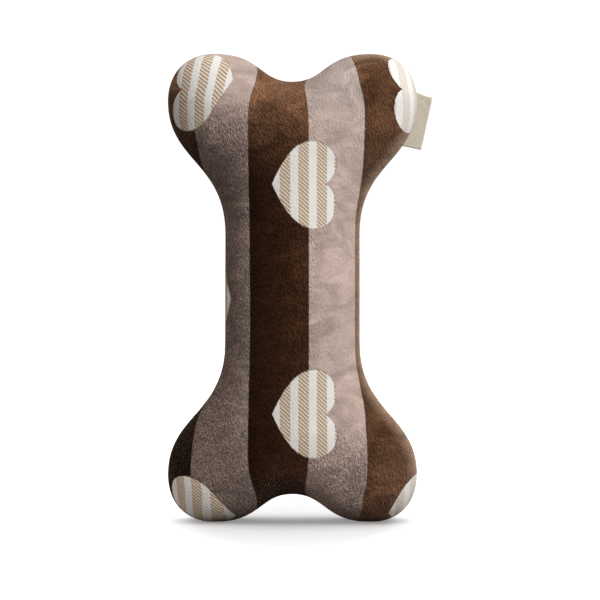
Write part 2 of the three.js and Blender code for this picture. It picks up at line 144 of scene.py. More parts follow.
def bone_stations():
    """Edge points, outward directions, crown points and half depths round the outline, in x and z."""
    fork = np.array([0, HALF_LENGTH - FORK_DROP])
    lobe_middle = np.array([END_HALF_WIDTH - LOBE_RADIUS, HALF_LENGTH - LOBE_RADIUS])
    notch = (0, HALF_LENGTH - NOTCH_DEPTH)
    lobe_top = (LOBE_TOP, HALF_LENGTH)
    lobe_side = (END_HALF_WIDTH, HALF_LENGTH - LOBE_SHOULDER)
    waist_end = (WAIST_HALF_WIDTH, WAIST_HALF_LENGTH)
    along = np.arange(BRANCH_STATIONS) / BRANCH_STATIONS
    round_lobe = np.arange(LOBE_STATIONS) / LOBE_STATIONS
    down_neck = np.arange(NECK_STATIONS) / NECK_STATIONS
    down_waist = np.linspace(1, 0, WAIST_STATIONS)

    neck_shares = np.concatenate([NECK_FORK * along, NECK_FORK + (1 - NECK_FORK) * down_neck])
    edge = np.concatenate([
        bezier(notch, (NOTCH_REACH, notch[1]), (LOBE_TOP - LOBE_INNER_REACH, HALF_LENGTH), lobe_top, along),
        bezier(lobe_top, (LOBE_TOP + LOBE_OUTER_REACH, HALF_LENGTH),
               (END_HALF_WIDTH, lobe_side[1] + LOBE_SIDE_REACH), lobe_side, round_lobe),
        bezier(lobe_side, (END_HALF_WIDTH, lobe_side[1] - NECK_UPPER_REACH),
               (WAIST_HALF_WIDTH, WAIST_HALF_LENGTH + NECK_LOWER_REACH), waist_end, neck_shares),
        np.stack([np.full(WAIST_STATIONS, WAIST_HALF_WIDTH), WAIST_HALF_LENGTH * down_waist], 1),
    ])
    to_lobe = np.concatenate([along, np.ones(LOBE_STATIONS), 1 - along,
                              np.zeros(NECK_STATIONS + WAIST_STATIONS)])
    crown = fork + to_lobe[:, None] * (lobe_middle - fork)
    below_fork = 2 * BRANCH_STATIONS + LOBE_STATIONS
    crown[below_fork:below_fork + NECK_STATIONS, 1] += down_neck * (WAIST_HALF_LENGTH - fork[1])
    crown[below_fork + NECK_STATIONS:, 1] = edge[below_fork + NECK_STATIONS:, 1]
    swell = to_lobe**2 * (3 - 2 * to_lobe)
    depth = CROWN_HALF_DEPTH + swell * (LOBE_HALF_DEPTH - CROWN_HALF_DEPTH)

    def all_round(quarter, flip_x, flip_z):
        right = np.concatenate([quarter, (quarter * flip_z)[-2::-1]])
        return np.concatenate([right, (right * flip_x)[-2:0:-1]])

    edge, crown = (all_round(q, np.array([-1, 1]), np.array([1, -1])) for q in (edge, crown))
    depth = all_round(depth, 1, 1)
    way = np.roll(edge, -1, 0) - np.roll(edge, 1, 0)
    way /= np.linalg.norm(way, axis=1, keepdims=True)
    outward = np.stack([-way[:, 1], way[:, 0]], 1)
    return edge, outward, crown, depth


def panel_places(side):
    """The pile face of one panel before it is stuffed, as rows from the cut edge up to the crown."""
    edge, outward, crown, depth = bone_stations()
    rows = []
    for inset in (*np.linspace(SEAM_ALLOWANCE, 0, ALLOWANCE_ROWS)[:-1], SEAM_LIP):
        rows.append((edge - outward * (SEAM_VALLEY + inset), np.full(len(edge), SEAM_HALF_GAP)))
    by_label = ((edge[:, 0] > label_low.x - LABEL_MARGIN) & (edge[:, 1] > label_low.z - LABEL_MARGIN)
                & (edge[:, 1] < label_high.z + LABEL_MARGIN))
    mouth = np.where(by_label, SEAM_HALF_GAP, SEAM_PRESSED)
    for angle in np.linspace(0, math.pi / 2, ROLL_ROWS + 1):
        height = SEAM_ROLL - (SEAM_ROLL - mouth) * math.cos(angle)
        rows.append((edge - outward * SEAM_VALLEY * (1 - math.sin(angle)), height))
    for angle in np.linspace(0, math.pi / 2, CROWN_ROWS + 1)[1:]:
        place = edge + (crown - edge) * (1 - math.cos(angle))
        rows.append((place, SEAM_ROLL + (depth - SEAM_ROLL) * math.sin(angle)))
    return np.array([np.stack([p[:, 0], side * y, p[:, 1]], 1) for p, y in rows])


# Print: taupe stripes on brown, with hearts on every second stripe edge. The cloth was printed flat, so
# each point of a panel keeps its place on the flat cloth, measured along the stuffed surface from the
# middle, with shifts where sewing and stuffing pulled the cloth.

TOP_PULL = {"spread": 0.0038, "notch_gather": 0.0105, "lobe_gather": 0.0045, "lift": 0.0110,
            "lift_from": 0.065, "lift_to": 0.095}
BASE_PULL = {"spread": 0.0019, "notch_gather": 0.0100, "lobe_gather": 0.0000, "lift": 0.0068,
             "lift_from": 0.090, "lift_to": 0.125}
LOBE_INSIDE = 0.020
LOBE_OUTSIDE = 0.055
GATHER_START = 0.095
GATHER_END = 0.135
SPREAD_START = 0.050
SPREAD_END = 0.080
NOTCH_SOFTNESS = 0.004
LIFT_WIDTH = 0.065
LIFT_CURVE = 1.3
WAIST_SHIFT = 0.0028
WAIST_SHIFT_SIDE = (0.020, 0.038)
WAIST_SHIFT_FADE = (0.040, 0.075)
HAIR = 0.000002


def smooth_step(value, start, end):
    """0 before start and 1 after end, with an even change between."""
    share = np.clip((value - start) / (end - start), 0, 1)
    return share * share * (3 - 2 * share)


def slice_pieces(triangles, axis, level):
    """Lengths and ends of the pieces that a plane across the given axis cuts from the triangles."""
    height = triangles[:, :, axis] - level
    height = np.where(height == 0, 1e-9, height)
    crossed = (height.min(1) < 0) & (height.max(1) > 0)
    corner, height = triangles[crossed], height[crossed]
    after, rise = np.roll(corner, -1, 1), np.roll(height, -1, 1)
    share = height / np.where(height == rise, 1, height - rise)
    meets = corner + share[:, :, None] * (after - corner)
    pair = np.argsort(height * rise, axis=1, kind="stable")[:, :2]
    ends = np.take_along_axis(meets, pair[:, :, None], 1)
    return np.linalg.norm(ends[:, 0] - ends[:, 1], axis=1), ends


def sewing_pull(x, z, end):
    """How far sewing and stuffing shift the print at one end of the bone, across and along the cloth."""
    out, up = abs(x), abs(z)
    on_lobe = smooth_step(out, LOBE_INSIDE, LOBE_OUTSIDE)
    gather = end["notch_gather"] + (end["lobe_gather"] - end["notch_gather"]) * on_lobe
    near_end = np.maximum(0, (up - GATHER_START) / (GATHER_END - GATHER_START))
    spread = end["spread"] * on_lobe * smooth_step(up, SPREAD_START, SPREAD_END)
    spread = spread + gather * near_end**2 * out / (out + NOTCH_SOFTNESS)
    lifted = smooth_step(up, end["lift_from"], end["lift_to"])
    lift = end["lift"] * (out / LIFT_WIDTH) ** LIFT_CURVE * lifted
    at_waist = 1 - smooth_step(up, *WAIST_SHIFT_FADE)
    off_centre = WAIST_SHIFT * smooth_step(x, *WAIST_SHIFT_SIDE) * at_waist
    return np.stack([np.copysign(spread, x) + off_centre, np.copysign(lift, z)], 2)


def print_places(rows):
    """Where each point of a panel lies on the flat printed cloth: across and along it, in metres."""
    crown = rows[ALLOWANCE_ROWS + ROLL_ROWS:]
    across_next = np.roll(crown, -1, 1)
    triangles = np.concatenate([
        np.stack([crown[:-1], across_next[:-1], across_next[1:]], 2).reshape(-1, 3, 3),
        np.stack([crown[:-1], across_next[1:], crown[1:]], 2).reshape(-1, 3, 3)])
    triangles = triangles[(triangles[:, :, 0].max(1) > -1e-6) & (triangles[:, :, 2].max(1) > -1e-6)]
    lobe_x, lobe_z = END_HALF_WIDTH - LOBE_RADIUS, HALF_LENGTH - LOBE_RADIUS
    fork_z = HALF_LENGTH - FORK_DROP
    notch_z = HALF_LENGTH - NOTCH_DEPTH - SEAM_ROLL

    def surface_way(axis, level, start, end):
        length, ends = slice_pieces(triangles, axis, level)
        low, high = ends[:, :, 2 - axis].min(1), ends[:, :, 2 - axis].max(1)
        inside = np.minimum(high, max(start, end)) - np.maximum(low, min(start, end))
        share = np.clip(inside / np.maximum(high - low, 1e-9), 0, 1)
        return math.copysign((length * share).sum(), end - start)

    known = {}

    def flat_place(x, z):
        key = (round(x, 6), round(z, 6))
        if key not in known:
            across = surface_way(2, z, 0, x) if z < fork_z else (
                surface_way(2, min(z, notch_z), 0, lobe_x) + surface_way(2, z, lobe_x, x))
            ridge = fork_z + (lobe_z - fork_z) * min(x / lobe_x, 1)
            over_ridge = smooth_step(z, WAIST_HALF_LENGTH, fork_z)
            along = z + over_ridge * (ridge + surface_way(0, x, ridge, z) - z)
            known[key] = (across, along)
        return known[key]

    places = np.zeros(rows.shape[:2] + (2,))
    first = ALLOWANCE_ROWS + ROLL_ROWS
    for row in range(first, len(rows)):
        for i, (x, _, z) in enumerate(rows[row]):
            places[row, i] = np.copysign(flat_place(abs(x) + HAIR, abs(z) + HAIR), (x, z))
    for row in range(first - 1, -1, -1):
        step = np.linalg.norm(rows[row] - rows[row + 1], axis=1, keepdims=True)
        outwards = places[first] - places[first + 1]
        places[row] = places[row + 1] + step * outwards / np.linalg.norm(outwards, axis=1, keepdims=True)

    x, z = rows[:, :, 0], rows[:, :, 2]
    for end, here in ((TOP_PULL, z > 0), (BASE_PULL, z <= 0)):
        places += here[:, :, None] * sewing_pull(x, z, end)
    return places


def panel_mesh(name, side, print_shift):
    """One panel's pile face, with its faces pointing outwards and its crown rows joined."""
    rows = panel_places(side)
    flat = print_places(rows) + np.array(print_shift)
    count = rows.shape[1]
    shape = bmesh.new()
    on_cloth = shape.verts.layers.float_vector.new("print_place")
    held = shape.verts.layers.float.new("held_by_seam")
    points = []
    for r, row in enumerate(rows):
        points.append([shape.verts.new(place) for place in row])
        for vert, place in zip(points[-1], flat[r]):
            vert[on_cloth] = (*place, 0)
            vert[held] = 1.0 if r <= ALLOWANCE_ROWS else 0.0
    for low, high in zip(points, points[1:]):
        for i in range(count):
            after = (i + 1) % count
            corners = (low[i], low[after], high[after], high[i])
            shape.faces.new(corners if side > 0 else corners[::-1])
    bmesh.ops.remove_doubles(shape, verts=shape.verts, dist=0.00002)
    laid_flat = shape.loops.layers.uv.new("laid_flat")
    for face in shape.faces:
        for corner in face.loops:
            corner[laid_flat].uv = corner.vert[on_cloth].xy
    mesh = bpy.data.meshes.new(name)
    shape.to_mesh(mesh)
    shape.free()
    panel = bpy.data.objects.new(name, mesh)
    bpy.context.scene.collection.objects.link(panel)
    return panel


# Stuffing the cover: the filling presses the plush outwards from inside, harder in some places than in
# others, while the seam holds its edge. The cloth then gets its thickness and finer faces.

PRESSURE = 10.0
CLOTH_MASS = 0.0003
STUFFING_FRAMES = 20
MOST_SWELLING = 0.004
LUMP_SIZE = 0.035
LUMP_SHARE = 1.0
BACK_PRINT_SHIFT = (0.021, 0.032)


def stuff_panel(panel, seed):
    """Blows the panel up by cloth pressure and keeps the result in its mesh."""
    mesh = panel.data
    rest = np.array([v.co for v in mesh.vertices])
    held = panel.vertex_groups.new(name="seam")
    filling = panel.vertex_groups.new(name="filling")
    for vert in mesh.vertices:
        if mesh.attributes["held_by_seam"].data[vert.index].value > 0.5:
            held.add([vert.index], 1.0, "REPLACE")
        lump = noise.noise(vert.co / LUMP_SIZE + Vector((seed, 0, 0)))
        filling.add([vert.index], min(1, max(0, 1 - LUMP_SHARE * (0.5 + lump))), "REPLACE")
    cloth = panel.modifiers.new("stuffing", "CLOTH")
    settings = cloth.settings
    settings.quality = 6
    settings.mass = CLOTH_MASS
    settings.tension_stiffness = 8
    settings.compression_stiffness = 8
    settings.shear_stiffness = 4
    settings.bending_stiffness = 0.2
    settings.use_pressure = True
    settings.uniform_pressure_force = PRESSURE
    settings.vertex_group_mass = held.name
    settings.vertex_group_pressure = filling.name
    settings.effector_weights.gravity = 0
    for step in range(1, STUFFING_FRAMES + 1):
        bpy.context.scene.frame_set(step)
    swollen = panel.evaluated_get(bpy.context.evaluated_depsgraph_get()).to_mesh()
    moved = np.array([v.co for v in swollen.vertices]) - rest
    far = np.linalg.norm(moved, axis=1, keepdims=True)
    rest += moved * np.minimum(1, MOST_SWELLING / np.maximum(far, 1e-9))
    panel.modifiers.remove(cloth)
    mesh.vertices.foreach_set("co", rest.ravel())
    mesh.update()
    bpy.context.scene.frame_set(1)


def finish_panel(panel, side):
    """Gives the plush its thickness and finer faces, and stops it at the other panel and at the floor."""
    bpy.context.view_layer.objects.active = panel
    wall = panel.modifiers.new("plush", "SOLIDIFY")
    wall.thickness = PLUSH_THICKNESS
    wall.offset = -1
    finer = panel.modifiers.new("finer", "SUBSURF")
    finer.levels = 1
    finer.render_levels = 1
    for modifier in ("plush", "finer"):
        bpy.ops.object.modifier_apply(modifier=modifier)
    laid_flat = panel.data.uv_layers["laid_flat"]
    for loop, corner in zip(panel.data.loops, laid_flat.data):
        panel.data.attributes["print_place"].data[loop.vertex_index].vector = (*corner.uv, 0)
    panel.data.uv_layers.remove(laid_flat)
    for vert in panel.data.vertices:
        vert.co.y = side * max(side * vert.co.y, HAIR)
        vert.co.z = max(vert.co.z, FLOOR_LEVEL)
    panel.data.polygons.foreach_set("use_smooth", [True] * len(panel.data.polygons))


front = panel_mesh("plush_front_panel", -1, (0, 0))
back = panel_mesh("plush_back_panel", 1, BACK_PRINT_SHIFT)
for panel, side, seed in ((front, -1, 3.0), (back, 1, 11.0)):
    stuff_panel(panel, seed)
    finish_panel(panel, side)
    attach(panel, "bone")
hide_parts("front_panel")
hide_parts("back_panel")


# Printed plush: the dye of the print seen through a short, dense, slightly ruffled pile. The hearts are
# cream, with bands of tan ticking lines that all run the same way. Painted light and shade are mixed into
# the colour: painted shade on the left and towards the base, painted sheen at the notch, on the right lobes
# and along the right edge, a greyer painted light on the upper right, a paler hatch on the right-hand
# hearts, and a fine painted shade in the low places of the tufts. Each span says where, in metres.

STRIPE_WIDTH = 0.0361
STRIPE_EDGE = 0.0097
HEART_POINT = 0.0252
HEART_CHEEK = 0.0134
HEART_HALF_HEIGHT = 0.0261
HEART_CHEEK_SPREAD = 0.01225
HEART_CHEEK_RADIUS = 0.01395
HEART_POINT_BOW = 2.2
HEART_POINT_REACH = 0.0217
HEART_DROP = 0.1348
HEART_LEVEL = 0.0609
TURNED_BELOW = -0.074
BAND_PITCH = 0.0109
BAND_START = 0.0044
BAND_SHARE = 0.57
TICK_PITCH = 0.00235
TICK_SLOPE = 0.92
TICK_SHARE = 0.6
BROWN = (0.045, 0.0184, 0.0090)
# Painted shade: the brown on the shaded left side.
BROWN_IN_PAINTED_SHADE = (0.009, 0.0036, 0.0018)
# Painted sheen: a lighter golden brown.
BROWN_PAINTED_SHEEN = (0.200, 0.098, 0.052)
# Painted sheen: the light brown along the right edge.
BROWN_PAINTED_EDGE_SHEEN = (0.27, 0.175, 0.115)
TAUPE = (0.350, 0.259, 0.220)
# Painted shade: the taupe on the shaded left side and near the base.
TAUPE_IN_PAINTED_SHADE = (0.158, 0.111, 0.093)
# Painted light: a greyer taupe for the brightly lit upper right.
TAUPE_PAINTED_LIGHT = (0.300, 0.240, 0.210)
CREAM = (0.55, 0.52, 0.485)
TAN = (0.29, 0.206, 0.139)
PEACH = (0.55, 0.475, 0.39)
# Painted sheen on the right lobes: where it lies, how strong it is, and how much stronger at the lower
# foot.
RIGHT_LOBES = (0.030, 0.050)
LOBE_PAINTED_SHEEN = 0.28
LOBE_FOOT = (-0.122, -0.100)
FOOT_PAINTED_SHEEN = 2.0
EDGE_DEPTH = (0.019, 0.009)
EDGE_SIDE = (0.030, 0.037)
TO_NOTCH = (0.058, 0.122)
NOTCH_SIDE = (0.028, 0.046)
TO_BACK = (-0.004, 0.016)
BROWN_FROM_LEFT = (-0.030, 0.004)
TAUPE_FROM_LEFT = (-0.040, 0.008)
OVER_TOP = (0.070, 0.125)
TAUPE_FROM_BASE = (-0.110, -0.080)
# Painted light: where the hearts' hatch pales towards the right.
HATCH_PAINTED_PALING = (0.050, 0.066)
# Where the tufts' relief and their painted shade ease off.
EASED_FROM_LEFT = (-0.035, 0.020)
EASED_AT_TOP = (0.088, 0.112)
EASED_FROM_BASE = (-0.105, -0.080)
RUFFLE_SCALE = 420.0
RUFFLE_REACH = 0.0006
BRUSH_SCALE = 50.0
BRUSH_STRETCH = (1.0, 1.0, 1.6)
STROKE_TURN = (0.0, -0.45, 0.0)
STROKE_STRETCH = (1.35, 1.0, 0.65)
STROKE_SCALE = 820.0
# How far the painted shade of the tufts darkens and lightens the colour.
NAP_CONTRAST = 0.22
TUFT_HEIGHT = 0.0036
SHEEN_TINT = (1.0, 0.72, 0.55, 1)


class Nodes:
    """Adds shader nodes to one tree, each fed by numbers or by other nodes' sockets."""

    def __init__(self, tree):
        self.tree = tree

    def add(self, kind, inputs=(), **settings):
        node = self.tree.nodes.new(kind)
        for name, value in settings.items():
            setattr(node, name, value)
        for key, value in dict(inputs).items():
            self.feed(node.inputs[key], value)
        return node

    def feed(self, socket, value):
        if isinstance(value, bpy.types.NodeSocket):
            self.tree.links.new(value, socket)
        else:
            socket.default_value = value

    def math(self, operation, *values):
        node = self.add("ShaderNodeMath", dict(enumerate(values)), operation=operation)
        return node.outputs[0]

    def vector(self, operation, **inputs):
        node = self.add("ShaderNodeVectorMath", operation=operation)
        for key, value in inputs.items():
            self.feed(node.inputs[int(key[1:])] if key[0] == "v" else node.inputs[key], value)
        return node.outputs[0]

    def blend(self, share, first, second, kind="MIX"):
        node = self.add("ShaderNodeMix", data_type="RGBA", blend_type=kind)
        for index, value in zip((0, 6, 7), (share, first, second)):
            single = isinstance(value, (float, int, bpy.types.NodeSocket))
            self.feed(node.inputs[index], value if single else (*value, 1))
        return node.outputs[2]

    def ramp(self, value, low, high, to_low=0.0, to_high=1.0):
        node = self.add("ShaderNodeMapRange", {0: value, 1: low, 2: high, 3: to_low, 4: to_high})
        return node.outputs[0]

    def noise(self, place, scale, detail=2.0, distortion=0.0, roughness=0.5):
        node = self.add("ShaderNodeTexNoise", {"Vector": place, "Scale": scale, "Detail": detail,
                                               "Distortion": distortion, "Roughness": roughness})
        return node.outputs["Fac"]


def new_material(name):
    """An empty material with its shader, and a hand for adding nodes to it."""
    material = bpy.data.materials.new(name)
    material.use_nodes = True
    return material, material.node_tree.nodes["Principled BSDF"], Nodes(material.node_tree)


def printed_plush():
    """The cover's material: printed stripes and hearts under a brushed pile, with painted light and shade
    in its colour.
    """
    material, shader, n = new_material("printed_plush")
    spot = n.add("ShaderNodeTexCoord").outputs["Object"]
    cloth = n.add("ShaderNodeAttribute", attribute_name="print_place").outputs["Vector"]
    ruffle = n.add("ShaderNodeTexNoise", {"Vector": cloth, "Scale": RUFFLE_SCALE, "Detail": 1.0})
    ruffle = n.vector("MULTIPLY_ADD", v0=ruffle.outputs["Color"], v1=(RUFFLE_REACH, RUFFLE_REACH, 0),
                      v2=(-RUFFLE_REACH / 2, -RUFFLE_REACH / 2, 0))
    place = n.add("ShaderNodeSeparateXYZ", {0: n.vector("ADD", v0=cloth, v1=ruffle)})
    across, along = place.outputs[0], place.outputs[1]

    from_edge = n.math("SUBTRACT", across, STRIPE_EDGE)
    wave = n.math("SINE", n.math("MULTIPLY", from_edge, math.pi / STRIPE_WIDTH))
    brushed = n.noise(n.vector("MULTIPLY", v0=spot, v1=BRUSH_STRETCH), BRUSH_SCALE, 3.0, 1.2)
    body_x, body_y, body_z = n.add("ShaderNodeSeparateXYZ", {0: spot}).outputs
    # Painted sheen: the brown turns a lighter golden brown at the notch and on the right-hand lobes, most
    # at the lower right foot, where the light catches the pile.
    on_lobe = n.math("MULTIPLY", n.ramp(body_x, *RIGHT_LOBES, 0.0, LOBE_PAINTED_SHEEN),
                     n.ramp(body_z, *LOBE_FOOT, FOOT_PAINTED_SHEEN, 1.0))
    at_edge = n.math("MULTIPLY", n.ramp(n.math("ABSOLUTE", body_y), *EDGE_DEPTH),
                     n.ramp(body_x, *EDGE_SIDE))
    at_notch = n.math("MULTIPLY", n.math("POWER", n.ramp(body_z, *TO_NOTCH), 2.0),
                      n.ramp(body_x, *NOTCH_SIDE, 1.0, 0.3))
    painted_sheen = n.math("MULTIPLY", n.math("MAXIMUM", on_lobe, at_notch),
                    n.ramp(brushed, 0.35, 0.65, 0.65, 1.15))
    # Painted shade: on the front the brown and the taupe turn darker towards the left, and the taupe also
    # towards the base, where less light falls.
    on_back = n.ramp(body_y, *TO_BACK)
    brown_out_of_painted_shade = n.math("MAXIMUM", n.ramp(body_x, *BROWN_FROM_LEFT), on_back)
    brown = n.blend(painted_sheen, n.blend(brown_out_of_painted_shade, BROWN_IN_PAINTED_SHADE, BROWN), BROWN_PAINTED_SHEEN)
    # Painted sheen: the brown lightens along the right edge, where the lit pile is seen edge-on.
    brown = n.blend(at_edge, brown, BROWN_PAINTED_EDGE_SHEEN)
    over_top = n.ramp(body_z, *OVER_TOP)
    from_left = n.ramp(body_x, *TAUPE_FROM_LEFT)
    from_base = n.ramp(body_z, *TAUPE_FROM_BASE, 0.55, 1.0)
    taupe_out_of_painted_shade = n.math("MAXIMUM", n.math("MAXIMUM", from_left, over_top), on_back)
    taupe_out_of_painted_shade = n.math("MULTIPLY", taupe_out_of_painted_shade, from_base)
    # Painted light: the taupe turns greyer on the upper right, where the light is strongest.
    taupe_with_painted_light = n.blend(n.math("MULTIPLY", from_left, over_top), TAUPE, TAUPE_PAINTED_LIGHT)
    taupe = n.blend(taupe_out_of_painted_shade, TAUPE_IN_PAINTED_SHADE, taupe_with_painted_light)
    striped = n.ramp(wave, -0.03, 0.03)
    ground = n.blend(striped, brown, taupe)

    column = n.math("ROUND", n.math("DIVIDE", from_edge, 2 * STRIPE_WIDTH))
    odd = n.math("PINGPONG", column, 1.0)
    low_right = n.math("MULTIPLY", n.math("GREATER_THAN", column, 0.5),
                       n.math("LESS_THAN", along, TURNED_BELOW))
    mirrored = n.math("MULTIPLY", odd, n.math("SUBTRACT", 1.0, low_right))
    way = n.math("MULTIPLY_ADD", mirrored, -2.0, 1.0)
    beside = n.math("MULTIPLY", n.math("MULTIPLY_ADD", column, -2 * STRIPE_WIDTH, from_edge), way)
    from_point = n.math("ADD", beside, HEART_POINT_REACH)
    level = n.math("MULTIPLY_ADD", odd, -HEART_DROP / 2, n.math("SUBTRACT", along, HEART_LEVEL))
    drop = n.math("ROUND", n.math("DIVIDE", level, HEART_DROP))
    aside = n.math("ABSOLUTE", n.math("MULTIPLY_ADD", drop, -HEART_DROP, level))
    past_middle = n.math("SUBTRACT", from_point, HEART_POINT)
    point_side = n.math("ADD",
        n.math("POWER", n.math("DIVIDE", n.math("ABSOLUTE", past_middle), HEART_POINT), HEART_POINT_BOW),
        n.math("DIVIDE", aside, HEART_HALF_HEIGHT))
    cheek_side = n.math("ADD",
        n.math("POWER", n.math("DIVIDE", n.math("ABSOLUTE", past_middle), HEART_CHEEK), 2.0),
        n.math("POWER", n.math("ABSOLUTE", n.math("DIVIDE", n.math("SUBTRACT", aside, HEART_CHEEK_SPREAD),
                                                  HEART_CHEEK_RADIUS)), 2.0))
    beyond = n.math("GREATER_THAN", past_middle, 0.0)
    reach = n.add("ShaderNodeMix", {0: beyond, 2: point_side, 3: cheek_side}).outputs[0]
    heart = n.ramp(reach, 1.02, 0.98)

    band = n.math("FRACT", n.math("DIVIDE", n.math("SUBTRACT", from_point, BAND_START), BAND_PITCH))
    banded = n.math("MULTIPLY", n.ramp(band, 0.0, 0.03), n.ramp(band, BAND_SHARE + 0.03, BAND_SHARE))
    tick = n.math("FRACT", n.math("DIVIDE", n.math("MULTIPLY_ADD", across, TICK_SLOPE, along), TICK_PITCH))
    ticked = n.math("MULTIPLY", n.ramp(tick, 0.0, 0.12), n.ramp(tick, TICK_SHARE + 0.12, TICK_SHARE))
    # Painted light: the hatch pales to half on the right-hand hearts, where the light is strongest.
    hatch_paled_by_painted_light = n.ramp(body_x, *HATCH_PAINTED_PALING, 1.0, 0.5)
    fill = n.blend(n.math("MULTIPLY", banded, hatch_paled_by_painted_light), CREAM, n.blend(ticked, PEACH, TAN))
    dyed = n.blend(heart, ground, fill)

    # Painted shade in the pile: a fine mottle darkens the low places of the tufts. It is strongest on the
    # shaded left and near the base and eases on the right and at the top, and the same tufts give the bump.
    stroked = n.add("ShaderNodeMapping",
                    {"Vector": spot, "Rotation": STROKE_TURN, "Scale": STROKE_STRETCH})
    worms = n.noise(stroked.outputs[0], STROKE_SCALE, 1.0, 0.5, 0.55)
    eased_right_and_top = n.math("MAXIMUM", n.ramp(body_x, *EASED_FROM_LEFT), n.ramp(body_z, *EASED_AT_TOP))
    above_base = n.ramp(body_z, *EASED_FROM_BASE)
    tuft_relief_and_shade_eased = n.math("MULTIPLY", n.ramp(striped, 0.0, 1.0, 0.35, 0.82), eased_right_and_top)
    tuft_relief_and_shade_eased = n.math("MULTIPLY", tuft_relief_and_shade_eased, above_base)
    tuft_relief_and_painted_shade = n.math("MULTIPLY", n.math("SUBTRACT", 1.0, tuft_relief_and_shade_eased), n.ramp(at_edge, 0.0, 1.0, 1.0, 0.5))
    contrast = n.math("MULTIPLY", tuft_relief_and_painted_shade, n.ramp(worms, 0.38, 0.62, -NAP_CONTRAST, NAP_CONTRAST))
    nap = n.math("MULTIPLY", n.math("ADD", contrast, 1.0), n.ramp(brushed, 0.3, 0.7, 0.74, 1.26))
    napped = n.blend(n.ramp(heart, 0.0, 1.0, 1.0, 0.12), dyed, nap, "MULTIPLY")
    n.feed(shader.inputs["Base Color"], napped)
    tufts = n.math("MULTIPLY", n.math("MULTIPLY", worms, tuft_relief_and_painted_shade), n.ramp(heart, 0.0, 1.0, 1.0, 0.15))
    bump = n.add("ShaderNodeBump", {"Height": tufts, "Strength": 1.0, "Distance": TUFT_HEIGHT})
    n.feed(shader.inputs["Normal"], bump.outputs[0])
    shader.inputs["Roughness"].default_value = 0.95
    shader.inputs["Specular IOR Level"].default_value = 0.0
    shader.inputs["Sheen Weight"].default_value = 0.15
    shader.inputs["Sheen Roughness"].default_value = 0.30
    shader.inputs["Sheen Tint"].default_value = SHEEN_TINT
    return material


plush = printed_plush()
for panel in (front, back):
    panel.data.materials.append(plush)


# Label: a woven ribbon folded in two round its outer edge, with both ends caught in the seam of the upper
# right lobe, whose edge they follow. It is bare on both sides, and its selvedges form the top and the
# bottom edge.

RIBBON_WIDTH = 0.032
RIBBON_THICKNESS = 0.0004
LABEL_REACH = 0.0094
LABEL_TAIL = 0.0003
LABEL_TUCK = 0.0006
FOLD_RADIUS = 0.0003
CORNER_ROUNDING = 0.0008
CORNER_SHARE = 0.6
LABEL_BOW = 0.0005
BOW_START = 0.6
BOW_TURN = 4.0
LABEL_FLARE = 0.0012
LABEL_RAISED = 0.0008
LABEL_LEAN = math.radians(3.3)
RIBBON_CELLS = 44
LAYER_CELLS = 14
FOLD_CELLS = 6
WEAVE_PITCH = 0.00052
# Painted shade: the width of the darker band along each long edge.
SHADED_EDGE_WIDTH = 0.0008
RIBBON_COLOUR = (0.44, 0.375, 0.295)
RIBBON_SHADE = (0.35, 0.288, 0.218)

label_hinge = next(j for j in frame["record"]["behaviour"]["joints"] if j["name"] == "label_flap")
hinge_middle, label_up = Vector(label_hinge["pos_m"]), Vector(label_hinge["axis"])
label_out = Vector((0, 1, 0)).cross(label_up)
edge_points = bone_stations()[0]
sewn_at = hinge_middle + label_up * LABEL_RAISED
sewn_up = label_up * math.cos(LABEL_LEAN) - label_out * math.sin(LABEL_LEAN)
sewn_out = label_out * math.cos(LABEL_LEAN) + label_up * math.sin(LABEL_LEAN)
near = (edge_points[:, 0] > LOBE_TOP) & (edge_points[:, 1] > WAIST_HALF_LENGTH)
from_sewn = edge_points[near] - np.array((sewn_at.x, sewn_at.z))
edge_up = from_sewn @ np.array((sewn_up.x, sewn_up.z))
edge_out = from_sewn @ np.array((sewn_out.x, sewn_out.z))
upwards = np.argsort(edge_up)


def ribbon_path(reach, tail):
    """Places along the ribbon from its front end out to the fold and back again, as reach and depth."""
    fold = reach - FOLD_RADIUS - RIBBON_THICKNESS / 2
    layer = np.linspace(-tail, fold, LAYER_CELLS + 1)[:-1]
    turn = np.linspace(-math.pi / 2, math.pi / 2, FOLD_CELLS + 1)
    out = np.concatenate([layer, fold + FOLD_RADIUS * np.cos(turn), layer[::-1]])
    depth = np.concatenate([np.full(LAYER_CELLS, -1), np.sin(turn), np.full(LAYER_CELLS, 1)]) * FOLD_RADIUS
    return out, depth


ribbon = bmesh.new()
on_ribbon = ribbon.verts.layers.float_vector.new("ribbon_place")
ribbon_rows = []
out, depth = ribbon_path(LABEL_REACH, LABEL_TAIL)
for place in np.linspace(0, RIBBON_WIDTH, RIBBON_CELLS + 1):
    near_corner = max(0, 1 - min(place, RIBBON_WIDTH - place) / CORNER_ROUNDING)
    reach = LABEL_REACH - CORNER_ROUNDING * (1 - math.sqrt(1 - near_corner**2)) * CORNER_SHARE
    bone_edge = np.interp(place - RIBBON_WIDTH / 2, edge_up[upwards], edge_out[upwards])
    out, depth = ribbon_path(reach, max(LABEL_TAIL, LABEL_TUCK - bone_edge))
    ribbon_length = np.concatenate([[0], np.cumsum(np.hypot(np.diff(out), np.diff(depth)))])
    ribbon_length -= ribbon_length[-1] / 2
    bow = LABEL_BOW * math.sin(BOW_START + BOW_TURN * place / RIBBON_WIDTH)
    depth = depth + bow * (out / LABEL_REACH) ** 2
    row = []
    drawn_up = LABEL_FLARE * max(0, 2 * place / RIBBON_WIDTH - 1) ** 3
    for o, d, run in zip(out, depth, ribbon_length):
        up = place - RIBBON_WIDTH / 2 + drawn_up * min(1, max(0, 1 - o / LABEL_REACH)) ** 2
        at = sewn_at + sewn_out * o + sewn_up * up + Vector((0, d, 0))
        row.append(ribbon.verts.new(at))
        row[-1][on_ribbon] = (place, run, 0)
    ribbon_rows.append(row)
